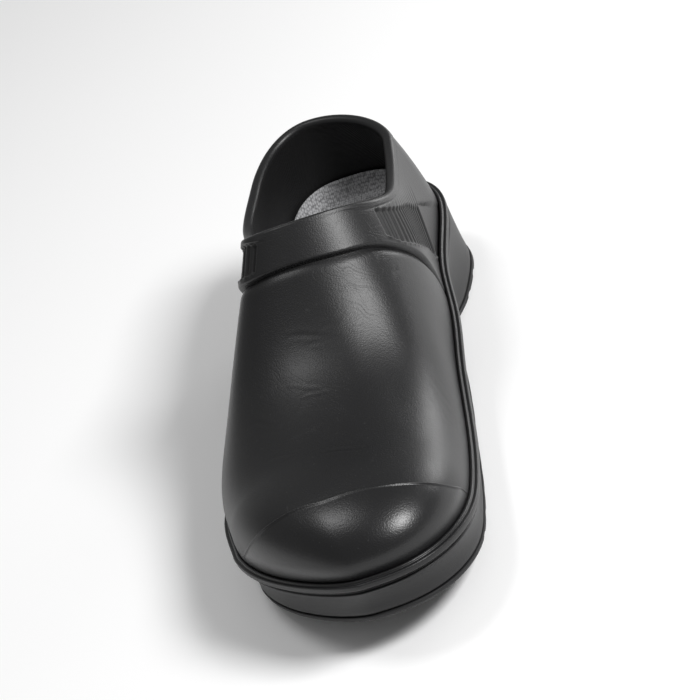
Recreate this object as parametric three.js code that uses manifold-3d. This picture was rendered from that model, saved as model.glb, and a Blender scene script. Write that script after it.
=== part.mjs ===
// Closed moulded chef clog, right shoe, standing empty on its sole.
// Millimetres, +Z up, toe toward -Y, the foot's inner side toward +X.
import * as THREE from "three";
import { mergeVertices } from "three/addons/utils/BufferGeometryUtils.js";
import Module from "manifold-3d";

const wasm = await Module();
wasm.setup();

// Driving sizes of the shoe
const shoeLength = 296; // over the welt
const ballWidth = 117; // over the welt at the ball
const instepHeight = 120; // ground to the top of the collar's front
const seatHeight = 38; // ground to the foot of the upper at the heel
const collarBackHeight = 91;
const wall = 3; // the upper's wall
const seam = 0.3; // free gap between two pieces

// Steps, grooves and ribs on the upper
const bandStep = 1.8;
const capStep = 1.2;
const rimProud = 0.9;
const rimDepth = 4;
const panelDepth = 0.8;
const slotDepth = 1.2;
const slotWidth = 1.7;
const ribPitch = 4.4;
const ribCount = 16;

// Sole
const weltStep = 3.5; // welt outside the upper's foot
const weltThick = 3.1;
const ledge = 4; // how far the welt reaches in under the wall
const lipHeight = 3.4;
const soleTaper = 4.6; // sidewall's lean inwards under the forefoot
const soleWaist = 3.5; // how much more it stands in under the arch
const heelSwell = 1; // sidewall's bulge outwards at the heel
const toeSpring = 20;
const archRise = 8.5;
const lugDepth = 2.4;
const lugGroove = 5;
const insoleRise = 2.8; // cover over the foot of the wall at the ball
const insoleSeat = 5.5; // the same at the middle of the heel
const insoleCup = 13.8; // the same at the heel's edge
const heelLean = 3.5; // how far the collar stands over to the outer side at the heel

// Outline fans: the heel turns about one centre, the toe about another
const heelCentre = 0.15 * shoeLength;
const toeCentre = 0.8 * shoeLength;
const heelRoundness = 2.75; // at the foot of the wall; the collar is rounder
const toeRoundness = { inner: 2.5, outer: 1.6 };
const fanSpread = 2.2;

// Sections through the shoe. at: share of the length. inner, outer, middle: shares of the
// ball width. ridge: share of the instep height. foot: share of the seat height.
const sections = [
  { at: 0.0, inner: 0.38, outer: 0.29, middle: -0.018, ridge: 1.3, foot: 1.06, fullness: 1.8 },
  { at: 0.15, inner: 0.384, outer: 0.32, middle: -0.006, ridge: 1.25, foot: 0.975, fullness: 1.9 },
  { at: 0.28, inner: 0.375, outer: 0.33, middle: -0.014, ridge: 1.33, foot: 0.91, fullness: 2.5 },
  { at: 0.4, inner: 0.42, outer: 0.3, middle: -0.034, ridge: 1.12, foot: 0.82, fullness: 2.3 },
  { at: 0.5, inner: 0.453, outer: 0.393, middle: -0.068, ridge: 0.867, foot: 0.71, fullness: 2.5 },
  { at: 0.6, inner: 0.496, outer: 0.462, middle: -0.103, ridge: 0.65, foot: 0.63, fullness: 2.4 },
  { at: 0.7, inner: 0.513, outer: 0.487, middle: -0.107, ridge: 0.558, foot: 0.63, fullness: 2.3 },
  { at: 0.8, inner: 0.491, outer: 0.453, middle: -0.077, ridge: 0.542, foot: 0.74, fullness: 2.6 },
  { at: 0.9, inner: 0.457, outer: 0.419, middle: -0.043, ridge: 0.583, foot: 0.92, fullness: 2.7 },
  { at: 1.0, inner: 0.402, outer: 0.376, middle: 0.017, ridge: 0.6, foot: 1.13, fullness: 2.7 },
];

// Collar edge seen from the side. high: share of the collar's height at the back.
const collarEdge = [
  { at: 0.0, high: 1.0 },
  { at: 0.08, high: 0.972 },
  { at: 0.17, high: 0.955 },
  { at: 0.26, high: 0.967 },
  { at: 0.36, high: 1.066 },
  { at: 0.455, high: 1.28 },
];

// Rear edge of the vamp, where the proud instep band and quarter begin.
// rise: share of the way from the foot of the wall to the ridge.
const bandEdge = [
  { rise: 0.0, at: 0.35 },
  { rise: 0.1, at: 0.357 },
  { rise: 0.2, at: 0.375 },
  { rise: 0.3, at: 0.394 },
  { rise: 0.45, at: 0.422 },
  { rise: 0.6, at: 0.448 },
  { rise: 0.8, at: 0.479 },
  { rise: 0.92, at: 0.498 },
  { rise: 1.0, at: 0.508 },
];

// Rear edge of the toe cap seen from the side, heights as shares of the instep height
const capEdge = [
  { at: 0.815, high: 0.2 },
  { at: 0.842, high: 0.3 },
  { at: 0.865, high: 0.36 },
  { at: 0.882, high: 0.42 },
  { at: 0.896, high: 0.48 },
  { at: 0.908, high: 0.55 },
  { at: 0.916, high: 0.7 },
];

// Ribbed side panel seen from the side, heights as shares of the instep height
const panelEdge = [
  { at: 0.225, high: 0.505 },
  { at: 0.28, high: 0.585 },
  { at: 0.334, high: 0.68 },
  { at: 0.38, high: 0.77 },
  { at: 0.415, high: 0.85 },
  { at: 0.433, high: 0.855 },
  { at: 0.443, high: 0.8 },
  { at: 0.44, high: 0.75 },
  { at: 0.4, high: 0.625 },
  { at: 0.36, high: 0.52 },
  { at: 0.31, high: 0.425 },
  { at: 0.27, high: 0.36 },
];
const ribLine = { from: { at: 0.43, high: 0.8 }, to: { at: 0.25, high: 0.43 } };

// Natural cubic curve through two columns of a table
function curveThrough(places, values) {
  const last = places.length - 1;
  const bend = new Array(last + 1).fill(0);
  const carry = new Array(last + 1).fill(0);
  for (let i = 1; i < last; i++) {
    const span = places[i + 1] - places[i - 1];
    const part = (places[i] - places[i - 1]) / span;
    const pivot = part * bend[i - 1] + 2;
    const after = (values[i + 1] - values[i]) / (places[i + 1] - places[i]);
    const before = (values[i] - values[i - 1]) / (places[i] - places[i - 1]);
    bend[i] = (part - 1) / pivot;
    carry[i] = ((6 * (after - before)) / span - part * carry[i - 1]) / pivot;
  }
  for (let i = last - 1; i > 0; i--) bend[i] = bend[i] * bend[i + 1] + carry[i];
  return (place) => {
    const held = Math.min(Math.max(place, places[0]), places[last]);
    let i = 0;
    while (i < last - 1 && held > places[i + 1]) i++;
    const span = places[i + 1] - places[i];
    const a = (places[i + 1] - held) / span;
    const b = 1 - a;
    const pull = ((a ** 3 - a) * bend[i] + (b ** 3 - b) * bend[i + 1]) * (span ** 2 / 6);
    return a * values[i] + b * values[i + 1] + pull;
  };
}

const stations = sections.map((row) => row.at * shoeLength);
const column = (name, size) => curveThrough(stations, sections.map((row) => row[name] * size));
const halfWidth = { inner: column("inner", ballWidth), outer: column("outer", ballWidth) };
const middle = column("middle", ballWidth);
const ridge = column("ridge", instepHeight);
const foot = column("foot", seatHeight);
const fullness = column("fullness", 1);
const collar = curveThrough(
  collarEdge.map((row) => row.at * shoeLength),
  collarEdge.map((row) => row.high * collarBackHeight),
);
const bandStation = curveThrough(
  bandEdge.map((row) => row.rise),
  bandEdge.map((row) => row.at * shoeLength),
);

const smooth = (from, to, value) => {
  const t = Math.min(Math.max((value - from) / (to - from), 0), 1);
  return t * t * (3 - 2 * t);
};

// Underside of the sole: heel and forefoot flat on the ground, arch and toe lifted
function ground(station) {
  const at = station / shoeLength;
  const heel = 3 * Math.max(0, 1 - at / 0.05) ** 2;
  const arch = archRise * Math.sin(Math.PI * Math.min(Math.max((at - 0.215) / 0.325, 0), 1)) ** 2;
  const toe = toeSpring * Math.max(0, (at - 0.67) / 0.33) ** 1.6;
  return heel + arch + toe;
}

// How much the sole stands in from the welt's outline, seen along the shoe
function soleInset(station) {
  const at = station / shoeLength;
  const waist = soleWaist * Math.exp(-(((at - 0.34) / 0.09) ** 2));
  return soleTaper * smooth(0.16, 0.36, at) - heelSwell * (1 - smooth(0.1, 0.2, at)) + waist;
}

// A place in the shoe's outline. turn: 0 at the back, 1 to 2 along the side, 3 at the toe.
function planPlace(turn, reach, side, grow) {
  const across = side > 0 ? halfWidth.inner : halfWidth.outer;
  let station;
  let share;
  if (turn < 1) {
    const ahead = Math.cos((turn * Math.PI) / 2) ** (2 / fanSpread);
    station = heelCentre - (heelCentre + grow) * reach * ahead;
    const round = 2 + (heelRoundness - 2) * reach ** 12;
    share = reach * (1 - ahead ** round) ** (1 / round);
  } else if (turn <= 2) {
    station = heelCentre + (turn - 1) * (toeCentre - heelCentre);
    share = reach;
  } else {
    const round = side > 0 ? toeRoundness.inner : toeRoundness.outer;
    const ahead = Math.sin(((turn - 2) * Math.PI) / 2) ** (2 / fanSpread);
    station = toeCentre + (shoeLength - toeCentre + grow) * reach * ahead;
    share = reach * Math.max(0, 1 - ahead ** round) ** (1 / round);
  }
  return { station, x: middle(station) + side * (across(station) + grow) * share };
}

const toPoint = (place, z) => [place.x, shoeLength / 2 - place.station, z];

// Turns of one side from the back to the toe, denser where the outline is tight
function turnsAlong(heelSteps, sideSteps, toeSteps) {
  const made = [];
  for (let i = 0; i < heelSteps; i++) made.push(i / heelSteps);
  for (let i = 0; i < sideSteps; i++) made.push(1 + i / sideSteps);
  for (let i = 0; i <= toeSteps; i++) made.push(2 + i / toeSteps);
  return made;
}

const turns = turnsAlong(7, 22, 9);

// A ring round the shoe: inner side from back to toe, then the outer side back again
function ringOf(pointAt) {
  const last = turns.length - 1;
  const ring = turns.map((turn) => pointAt(turn, 1));
  for (let i = last - 1; i > 0; i--) ring.push(pointAt(turns[i], -1));
  return ring;
}

function solidFrom(positions, faces) {
  const loose = new THREE.BufferGeometry();
  loose.setAttribute("position", new THREE.Float32BufferAttribute(positions.flat(), 3));
  loose.setIndex(faces.flat());
  const merged = mergeVertices(loose, 1e-3);
  const kept = [];
  const index = merged.index.array;
  for (let i = 0; i < index.length; i += 3) {
    const [a, b, c] = [index[i], index[i + 1], index[i + 2]];
    if (a !== b && b !== c && c !== a) kept.push(a, b, c);
  }
  return new wasm.Manifold(
    new wasm.Mesh({
      numProp: 3,
      vertProperties: new Float32Array(merged.attributes.position.array),
      triVerts: new Uint32Array(kept),
    }),
  );
}

// Solid skinned over rings from the lowest to the highest, closed across at both ends
function skin(rings) {
  const count = rings[0].length;
  const half = count / 2;
  const positions = rings.flat();
  const faces = [];
  for (let level = 0; level < rings.length - 1; level++) {
    for (let i = 0; i < count; i++) {
      const a = level * count + i;
      const b = level * count + ((i + 1) % count);
      faces.push([a, b + count, b], [a, a + count, b + count]);
    }
  }
  const top = (rings.length - 1) * count;
  for (let i = 0; i < half; i++) {
    const [a, b] = [i, i + 1];
    const [c, d] = [(count - i - 1) % count, (count - i) % count];
    faces.push([a, b, c], [a, c, d]);
    faces.push([top + a, top + c, top + b], [top + a, top + d, top + c]);
  }
  return solidFrom(positions, faces);
}

// Closed ring with a profile of outward offsets and heights, swept round the outline
function sweep(profile) {
  const loops = profile.map((corner) => ringOf((turn, side) => corner(turn, side)));
  const count = loops[0].length;
  const faces = [];
  for (let level = 0; level < loops.length; level++) {
    for (let i = 0; i < count; i++) {
      const a = level * count + i;
      const b = level * count + ((i + 1) % count);
      const above = ((level + 1) % loops.length) * count;
      const c = above + ((i + 1) % count);
      const d = above + i;
      faces.push([a, c, b], [a, d, c]);
    }
  }
  return solidFrom(loops.flat(), faces);
}

// The upper's surface, stood off outwards by a thickness that may change with the rise
const slopeOf = (station) => (ridge(station + 1) - ridge(station - 1)) / 2;
function upperPlace(turn, rise, side, standOff) {
  const probe = planPlace(turn, 0.7, side, 0);
  const reach = Math.sqrt(Math.max(0, 1 - rise ** fullness(probe.station)));
  const out = standOff(rise);
  const place = planPlace(turn, reach, side, out - weltStep);
  place.x -= heelLean * (rise / 0.4) * (1 - smooth(0.15, 0.4, place.station / shoeLength));
  const lift = out * Math.hypot(1, slopeOf(place.station));
  const low = foot(place.station) + seam;
  return { place, z: low + rise * (ridge(place.station) + lift - low) };
}

const upperRises = [0, 1, 2, 3, 4, 5, 6, 7, 8, 9, 10, 11, 12].map((i) => Math.sin((i * Math.PI) / 24));

// Dome solid between the foot of the wall and the upper's surface; skirt reaches below it
function dome(standOff, skirt) {
  const rings = [];
  if (skirt > 0) {
    rings.push(
      ringOf((turn, side) => {
        const { place, z } = upperPlace(turn, 0, side, standOff);
        return toPoint(place, z - skirt);
      }),
    );
  }
  for (const rise of upperRises) {
    rings.push(
      ringOf((turn, side) => {
        const { place, z } = upperPlace(turn, rise, side, standOff);
        return toPoint(place, z);
      }),
    );
  }
  return skin(rings);
}

// Prism across the shoe with the side view's outline, from one x to another
function acrossShoe(outline, fromX, toX) {
  const shape = new THREE.Shape(outline.map(([station, z]) => new THREE.Vector2(station, z)));
  const block = new THREE.ExtrudeGeometry(shape, { depth: toX - fromX, bevelEnabled: false });
  block.deleteAttribute("normal");
  block.deleteAttribute("uv");
  const merged = mergeVertices(block, 1e-3);
  const at = merged.attributes.position;
  const points = [];
  for (let i = 0; i < at.count; i++) {
    points.push([fromX + at.getZ(i), shoeLength / 2 - at.getX(i), at.getY(i)]);
  }
  const index = Array.from(merged.index.array);
  const faces = [];
  for (let i = 0; i < index.length; i += 3) faces.push([index[i], index[i + 1], index[i + 2]]);
  let solid = solidFrom(points, faces);
  if (solid.volume() < 0) solid = solidFrom(points, faces.map(([a, b, c]) => [a, c, b]));
  return solid;
}

const wide = 150;
const tall = 260;
const sideRow = (row) => [row.at * shoeLength, row.high * instepHeight];

// Upper: shell with a proud band and quarter, a toe cap, a collar rim and two ribbed panels
function makeUpper() {
  const quarter = (rise) => bandStep * smooth(-0.02, 0.4, rise) - 0.012;
  const cap = (rise) => capStep * smooth(0.02, 0.3, rise);
  const front = collarEdge[collarEdge.length - 1].at * shoeLength;
  const rimSlope = (collar(front) - collar(front - 4)) / 4;
  const rimLine = (drop) => {
    const line = [];
    for (let i = 0; i <= 17; i++) {
      const station = -8 + ((front + 8) * i) / 16;
      const beyond = Math.max(0, station - front) * rimSlope;
      line.push([station + 0.6 * drop, collar(Math.max(station, 0)) + beyond - 0.8 * drop]);
    }
    return line;
  };
  const rim = rimLine(0);
  const above = [...rim, [front + 45, tall], [-30, tall], [-30, collar(0)]];
  const strip = [...rim, ...rimLine(rimDepth).reverse()];
  const bandRows = bandEdge.map((row) => {
    const station = bandStation(row.rise);
    return [station, foot(station) + row.rise * (ridge(station) - foot(station))];
  });
  const top = bandRows[bandRows.length - 1];
  const behind = [[bandRows[0][0], -20], ...bandRows, [top[0] + 5, tall], [-30, tall], [-30, -20]];
  const capRows = capEdge.map(sideRow);
  const ahead = [...capRows, [shoeLength + 30, capRows[6][1]], [shoeLength + 30, capRows[0][1]]];
  let shell = dome(() => 0, 0);
  shell = shell.add(dome(quarter, 0).intersect(acrossShoe(behind, -wide, wide)));
  shell = shell.add(dome(cap, 0).intersect(acrossShoe(ahead, -wide, wide)));
  shell = shell.subtract(acrossShoe(above, -wide, wide));
  const room = dome(() => -wall, 5);
  const rimBody = dome((rise) => quarter(rise) + rimProud, 0)
    .subtract(dome(() => -wall - rimProud, 5))
    .intersect(acrossShoe(strip, -wide, wide))
    .subtract(acrossShoe(above, -wide, wide));
  shell = shell.subtract(room).add(rimBody);
  return cutPanels(shell, quarter);
}

// Slots between the ribs of one panel, seen from the side
function ribSlots() {
  const [fromS, fromZ] = sideRow(ribLine.from);
  const [toS, toZ] = sideRow(ribLine.to);
  const run = Math.hypot(toS - fromS, toZ - fromZ);
  const [alongS, alongZ] = [(toS - fromS) / run, (toZ - fromZ) / run];
  const slots = [];
  for (let i = 0; i < ribCount; i++) {
    const mid = ribPitch * (i + 0.5);
    const [s, z] = [fromS + alongS * mid, fromZ + alongZ * mid];
    const corner = (down, over) => [
      s + alongS * down - alongZ * over,
      z + alongZ * down + alongS * over,
    ];
    const [half, reach] = [slotWidth / 2, 24];
    slots.push([
      corner(-half, -reach),
      corner(half, -reach),
      corner(half, reach),
      corner(-half, reach),
    ]);
  }
  return slots;
}

function cutPanels(shell, quarter) {
  const field = acrossShoe(panelEdge.map(sideRow), -wide, wide);
  const outside = dome((rise) => quarter(rise) + 6, 0);
  const recess = outside.subtract(dome((rise) => quarter(rise) - panelDepth, 5)).intersect(field);
  const deep = outside
    .subtract(dome((rise) => quarter(rise) - panelDepth - slotDepth, 5))
    .intersect(field);
  let cut = shell.subtract(recess);
  const slots = ribSlots().map((outline) => acrossShoe(outline, -wide, wide));
  let comb = slots[0];
  for (const slot of slots.slice(1)) comb = comb.add(slot);
  cut = cut.subtract(deep.intersect(comb));
  return cut;
}

const seatAt = (station) => foot(Math.min(Math.max(station, 0), shoeLength));

// Welt: band round the foot of the upper, with a thin bead beside the wall
function makeWelt() {
  const corner = (grow, height) => (turn, side) => {
    const place = planPlace(turn, 1, side, grow);
    return toPoint(place, seatAt(place.station) + height);
  };
  const inside = -weltStep - ledge;
  return sweep([
    corner(inside, 0),
    corner(inside, -weltThick),
    corner(0, -weltThick),
    corner(0, -0.7),
    corner(-0.6, -0.1),
    corner(-1.7, -0.1),
    corner(-2, 1),
    corner(-weltStep + seam, 1),
    corner(-weltStep + seam, 0),
  ]);
}

// Level ring of the sole, a share of the way down from the welt to the ground
function soleRing(inset, height) {
  return ringOf((turn, side) => {
    const place = planPlace(turn, 1, side, 0);
    const grown = planPlace(turn, 1, side, -inset(place.station));
    return toPoint(grown, height(Math.min(Math.max(grown.station, 0), shoeLength)));
  });
}

// Midsole: the tall sidewall under the welt, with a groove near its top
function makeMidsole() {
  const top = (station) => foot(station) - weltThick - seam;
  const low = (station) => ground(station) + lipHeight + seam;
  const between = (share) => (station) => low(station) + share * (top(station) - low(station));
  return skin([
    soleRing((s) => 0.9 * soleInset(s) + 0.5, low),
    soleRing((s) => 0.8 * soleInset(s) + 1, between(0.45)),
    soleRing((s) => 0.3 * soleInset(s) + 0.6, (s) => top(s) - 2.4),
    soleRing((s) => 0.3 * soleInset(s) + 1.6, (s) => top(s) - 1.9),
    soleRing((s) => 0.2 * soleInset(s) + 1.6, (s) => top(s) - 0.7),
    soleRing((s) => 0.2 * soleInset(s) + 0.8, top),
  ]);
}

// Outsole: tread plate with a lip and cross grooves that show as notches at its edge
function makeOutsole() {
  let tread = skin([
    soleRing((s) => soleInset(s) + 1.8, ground),
    soleRing((s) => soleInset(s), (s) => ground(s) + 1.6),
    soleRing((s) => 0.92 * soleInset(s), (s) => ground(s) + lipHeight),
  ]);
  const grooves = [0.045, 0.1, 0.155, 0.21, 0.5, 0.555, 0.61, 0.665, 0.72, 0.775, 0.83];
  for (const at of grooves) {
    const s = at * shoeLength;
    const z = ground(s);
    const lean = (ground(s + 2) - ground(s - 2)) / 4;
    const [wideHalf, thinHalf] = [lugGroove / 2 + 0.6, lugGroove / 2 - 0.9];
    const cut = acrossShoe(
      [
        [s - wideHalf, z - 2.5 - lean * wideHalf],
        [s + wideHalf, z - 2.5 + lean * wideHalf],
        [s + thinHalf, z + lugDepth + lean * thinHalf],
        [s - thinHalf, z + lugDepth - lean * thinHalf],
      ],
      -wide,
      wide,
    );
    tread = tread.subtract(cut);
  }
  return tread;
}

// Insole: footbed inside the welt's ring, cupped up against the wall round the heel
function makeInsole() {
  const edge = weltStep + ledge + seam;
  const under = (station) => foot(station) - weltThick;
  const seat = (s) => insoleRise + (insoleSeat - insoleRise) * (1 - smooth(0.1, 0.45, s / shoeLength));
  const cup = (s) => insoleRise + (insoleCup - insoleRise) * (1 - smooth(0.1, 0.4, s / shoeLength));
  const cover = (gap, share) =>
    ringOf((turn, side) => {
      const { station } = planPlace(turn, 1, side, -edge);
      const lift = seat(station) + share * (cup(station) - seat(station));
      const rise = lift / (ridge(station) - foot(station));
      const { place } = upperPlace(turn, rise, side, () => -wall - gap);
      return toPoint(place, seatAt(place.station) + lift);
    });
  return skin([
    soleRing(() => edge, under),
    cover(0.9, 0.94),
    cover(1.6, 1),
    cover(4.2, 0.35),
    cover(8.5, 0),
  ]);
}

function toMesh(name, solid, colour, roughness) {
  const mesh = solid.getMesh();
  const geometry = new THREE.BufferGeometry();
  geometry.setAttribute("position", new THREE.BufferAttribute(mesh.vertProperties, 3));
  geometry.setIndex(new THREE.BufferAttribute(mesh.triVerts, 1));
  geometry.computeVertexNormals();
  const made = new THREE.Mesh(geometry, new THREE.MeshStandardMaterial({ color: colour, roughness }));
  made.name = name;
  return made;
}

const clog = new THREE.Group();
clog.name = "chef_clog";
clog.add(toMesh("upper", makeUpper(), "#1c1c1d", 0.42));
clog.add(toMesh("welt", makeWelt(), "#1a1a1b", 0.5));
clog.add(toMesh("midsole", makeMidsole(), "#19191a", 0.55));
clog.add(toMesh("outsole", makeOutsole(), "#161617", 0.65));
clog.add(toMesh("insole", makeInsole(), "#7c7c80", 0.95));

// The origin is under the middle of the shoe's box, on the ground
const box = new THREE.Box3().setFromObject(clog);
clog.position.set(-(box.min.x + box.max.x) / 2, -(box.min.y + box.max.y) / 2, -box.min.z);

export default clog;
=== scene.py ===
# %% [markdown]
# A closed moulded chef clog, right shoe
#
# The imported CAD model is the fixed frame. Every piece here repeats the shoe's own named
# sizes, so its surface lies on its CAD solid's, or within about 3 mm of it at the collar. It
# adds what a moulded polyurethane clog shows close up: a rolled collar rim, the proud instep
# band with the gutter under it, ribbed side panels, a toe cap with a raised line, the bead
# and welt, a hollow-sided sole and a knitted insole.

import math

import bpy
import numpy as np
from mathutils import Matrix, Vector


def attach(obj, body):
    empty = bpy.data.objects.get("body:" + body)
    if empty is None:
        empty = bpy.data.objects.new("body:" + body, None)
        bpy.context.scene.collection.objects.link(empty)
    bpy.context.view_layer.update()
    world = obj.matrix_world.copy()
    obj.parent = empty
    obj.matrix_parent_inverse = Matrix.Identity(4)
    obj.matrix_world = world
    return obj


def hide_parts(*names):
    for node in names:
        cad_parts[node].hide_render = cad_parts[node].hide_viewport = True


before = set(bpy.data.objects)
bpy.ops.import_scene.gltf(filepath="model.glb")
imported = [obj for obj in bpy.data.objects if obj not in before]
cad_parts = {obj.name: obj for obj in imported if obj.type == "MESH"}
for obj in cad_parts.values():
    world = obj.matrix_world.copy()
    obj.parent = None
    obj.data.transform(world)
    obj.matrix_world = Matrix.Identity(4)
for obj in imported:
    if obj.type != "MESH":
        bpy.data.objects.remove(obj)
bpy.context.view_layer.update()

# %% [markdown]
# Sizes of the shoe
#
# Millimetres, the CAD part's own sizes and sections; a comment says where one differs. A
# station runs from the back of the heel to the toe. The shoe is drawn as sections, because a
# last is measured that way: how far it reaches inwards and outwards, how high its ridge is
# and where its foot stands.

# %% Driving sizes
SHOE_LENGTH = 296.0
BALL_WIDTH = 117.0
INSTEP_HEIGHT = 120.0
SEAT_HEIGHT = 38.0
COLLAR_BACK = 91.0
WALL = 3.0
SEAM = 0.3
BAND_STEP = 1.8
CAP_STEP = 1.2
RIM_PROUD = 0.4  # the drawn bead is finer than the CAD's 0.9
WELT_STEP = 3.5
WELT_THICK = 3.1
LEDGE = 4.0
LIP_HEIGHT = 3.4
SOLE_TAPER = 4.6
SOLE_WAIST = 3.5
HEEL_SWELL = 1.0
HEEL_LEAN = 3.5  # how far the collar stands over to the outer side at the heel
BACK_LEAN = 2.5  # more of it at the very back, only here
TOE_SPRING = 20.0
ARCH_RISE = 8.5
INSOLE_RISE = 2.8
INSOLE_SEAT = 5.5
INSOLE_CUP = 13.8
RIB_COUNT = 16
HEEL_LIFT = 3.0  # the heel's rear edge over the ground
HEEL_CENTRE = 0.15 * SHOE_LENGTH
TOE_CENTRE = 0.8 * SHOE_LENGTH
HEEL_ROUNDNESS = 2.75  # at the foot of the wall
COLLAR_ROUNDNESS = 1.87  # above it, rounder than the CAD's 2
TOE_ROUNDNESS = {"inner": 2.5, "outer": 1.6}
FAN_SPREAD = 2.2
MIDDLE_OF_BOX = (10.681, 147.5)  # the box's middle: x shift and station

# Fine forms on the upper
PANEL_DEPTH = 0.85
SLOT_DEPTH = 0.95
SLOT_FADE = 0.18  # the slots' shallow ends above the panel
PANEL_LIP = 0.22
GUSSET_DEPTH = 0.55  # the flat behind the panel
SEAM_DEPTH = 0.12
BAND_ROUND = 1.7  # radius of the band's lower edge
RIM_GROOVE = 0.2
GUTTER_DEPTH = 1.3
LINE_HEIGHT = 0.75  # the toe cap's raised line

SECTIONS = [
    # at, inner, outer, middle, ridge, foot, fullness
    (0.00, 0.380, 0.290, -0.018, 1.300, 1.06, 1.8),
    (0.15, 0.384, 0.320, -0.006, 1.250, 0.975, 1.9),
    (0.28, 0.375, 0.330, -0.014, 1.330, 0.91, 2.5),
    (0.40, 0.420, 0.300, -0.034, 1.120, 0.82, 2.3),
    (0.50, 0.453, 0.393, -0.068, 0.867, 0.71, 2.5),
    (0.60, 0.496, 0.462, -0.103, 0.650, 0.63, 2.4),
    (0.70, 0.513, 0.487, -0.107, 0.558, 0.63, 2.3),
    (0.80, 0.491, 0.453, -0.077, 0.542, 0.74, 2.6),
    (0.90, 0.457, 0.419, -0.043, 0.583, 0.92, 2.7),
    (1.00, 0.402, 0.376, 0.017, 0.600, 1.13, 2.7),
]
COLLAR_EDGE = [  # at, share of the height at the back; the CAD starts with 1.000 and 0.972
    (0.00, 1.015),
    (0.08, 0.978),
    (0.17, 0.955),
    (0.26, 0.967),
    (0.36, 1.066),
    (0.455, 1.280),
]
BAND_EDGE = [  # rise, at
    (0.00, 0.350),
    (0.10, 0.357),
    (0.20, 0.375),
    (0.30, 0.394),
    (0.45, 0.422),
    (0.60, 0.448),
    (0.80, 0.479),
    (0.92, 0.498),
    (1.00, 0.508),
]
CAP_EDGE = [  # at, share of the instep height
    (0.835, 0.27),
    (0.850, 0.32),
    (0.865, 0.36),
    (0.882, 0.42),
    (0.896, 0.48),
    (0.905, 0.53),
]
print("shoe:", SHOE_LENGTH, "mm long,", BALL_WIDTH, "mm at the ball")

# %% [markdown]
# The surface of the last
#
# One curve per column of the table gives each size at any station. A place on the wall is
# named by its turn round the outline and by its rise from the foot to the ridge, which is
# the way a clog's mould is parted, so edges follow it and the mesh can follow the edges.


# %% Curves and places
def curve_through(rows, column, size=1.0, scale=SHOE_LENGTH):
    """Natural cubic curve through one column of a table, over its first column."""
    places = np.array([row[0] * scale for row in rows])
    values = np.array([row[column] * size for row in rows])
    last = len(places) - 1
    bend = np.zeros(last + 1)
    carry = np.zeros(last + 1)
    for i in range(1, last):
        span = places[i + 1] - places[i - 1]
        part = (places[i] - places[i - 1]) / span
        pivot = part * bend[i - 1] + 2
        after = (values[i + 1] - values[i]) / (places[i + 1] - places[i])
        before = (values[i] - values[i - 1]) / (places[i] - places[i - 1])
        bend[i] = (part - 1) / pivot
        carry[i] = (6 * (after - before) / span - part * carry[i - 1]) / pivot
    for i in range(last - 1, 0, -1):
        bend[i] = bend[i] * bend[i + 1] + carry[i]

    def at(place):
        held = np.clip(place, places[0], places[-1])
        i = np.clip(np.searchsorted(places, held, side="right") - 1, 0, last - 1)
        span = places[i + 1] - places[i]
        a = (places[i + 1] - held) / span
        b = 1 - a
        pull = ((a**3 - a) * bend[i] + (b**3 - b) * bend[i + 1]) * span**2 / 6
        return a * values[i] + b * values[i + 1] + pull

    return at


inner_half = curve_through(SECTIONS, 1, BALL_WIDTH)
outer_half = curve_through(SECTIONS, 2, BALL_WIDTH)
middle = curve_through(SECTIONS, 3, BALL_WIDTH)
ridge = curve_through(SECTIONS, 4, INSTEP_HEIGHT)
foot = curve_through(SECTIONS, 5, SEAT_HEIGHT)
fullness = curve_through(SECTIONS, 6)
collar_curve = curve_through(COLLAR_EDGE, 1, COLLAR_BACK)
band_station = curve_through(BAND_EDGE, 1, SHOE_LENGTH, scale=1.0)
COLLAR_FRONT = COLLAR_EDGE[-1][0] * SHOE_LENGTH
COLLAR_SLOPE = float(collar_curve(COLLAR_FRONT) - collar_curve(COLLAR_FRONT - 4)) / 4
print("collar's front at station", round(COLLAR_FRONT, 1), "rising", round(COLLAR_SLOPE, 2))

# %% [markdown]
# Collar edge and underside
#
# Both are side-view lines on a real pattern, so both are functions of the station alone.
# Heel and forefoot stand flat on the ground, which is what carries the shoe; the arch and
# the toe are lifted off it, so that the stiff sole rolls.


# %% Collar edge and underside
def collar(station):
    """Height of the collar's edge; it runs on straight in front of its last row."""
    return collar_curve(station) + np.maximum(0, station - COLLAR_FRONT) * COLLAR_SLOPE


def smooth(start, end, value):
    t = np.clip((value - start) / (end - start), 0, 1)
    return t * t * (3 - 2 * t)


def ground(station):
    """Underside of the sole: heel and forefoot flat, arch and toe lifted."""
    at = station / SHOE_LENGTH
    heel = HEEL_LIFT * np.maximum(0, 1 - at / 0.05) ** 2
    arch = ARCH_RISE * np.sin(np.pi * np.clip((at - 0.215) / 0.325, 0, 1)) ** 2
    toe = TOE_SPRING * np.maximum(0, (at - 0.67) / 0.33) ** 1.6
    return heel + arch + toe


def sole_inset(station):
    """How far the sole stands in from the welt's outline."""
    at = station / SHOE_LENGTH
    waist = SOLE_WAIST * np.exp(-(((at - 0.34) / 0.09) ** 2))
    return SOLE_TAPER * smooth(0.16, 0.36, at) - HEEL_SWELL * (1 - smooth(0.1, 0.2, at)) + waist


print("ground at heel, arch, ball, toe:", [round(float(ground(s)), 1) for s in (30, 110, 190, 290)])

# %% [markdown]
# Places on the shoe
#
# The outline turns in a fan round a heel centre and a toe centre and runs straight between
# them, as a last's bottom pattern does. A rise lifts a place up the wall, which closes over
# the foot in a superellipse whose fullness changes from heel to toe.


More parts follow.
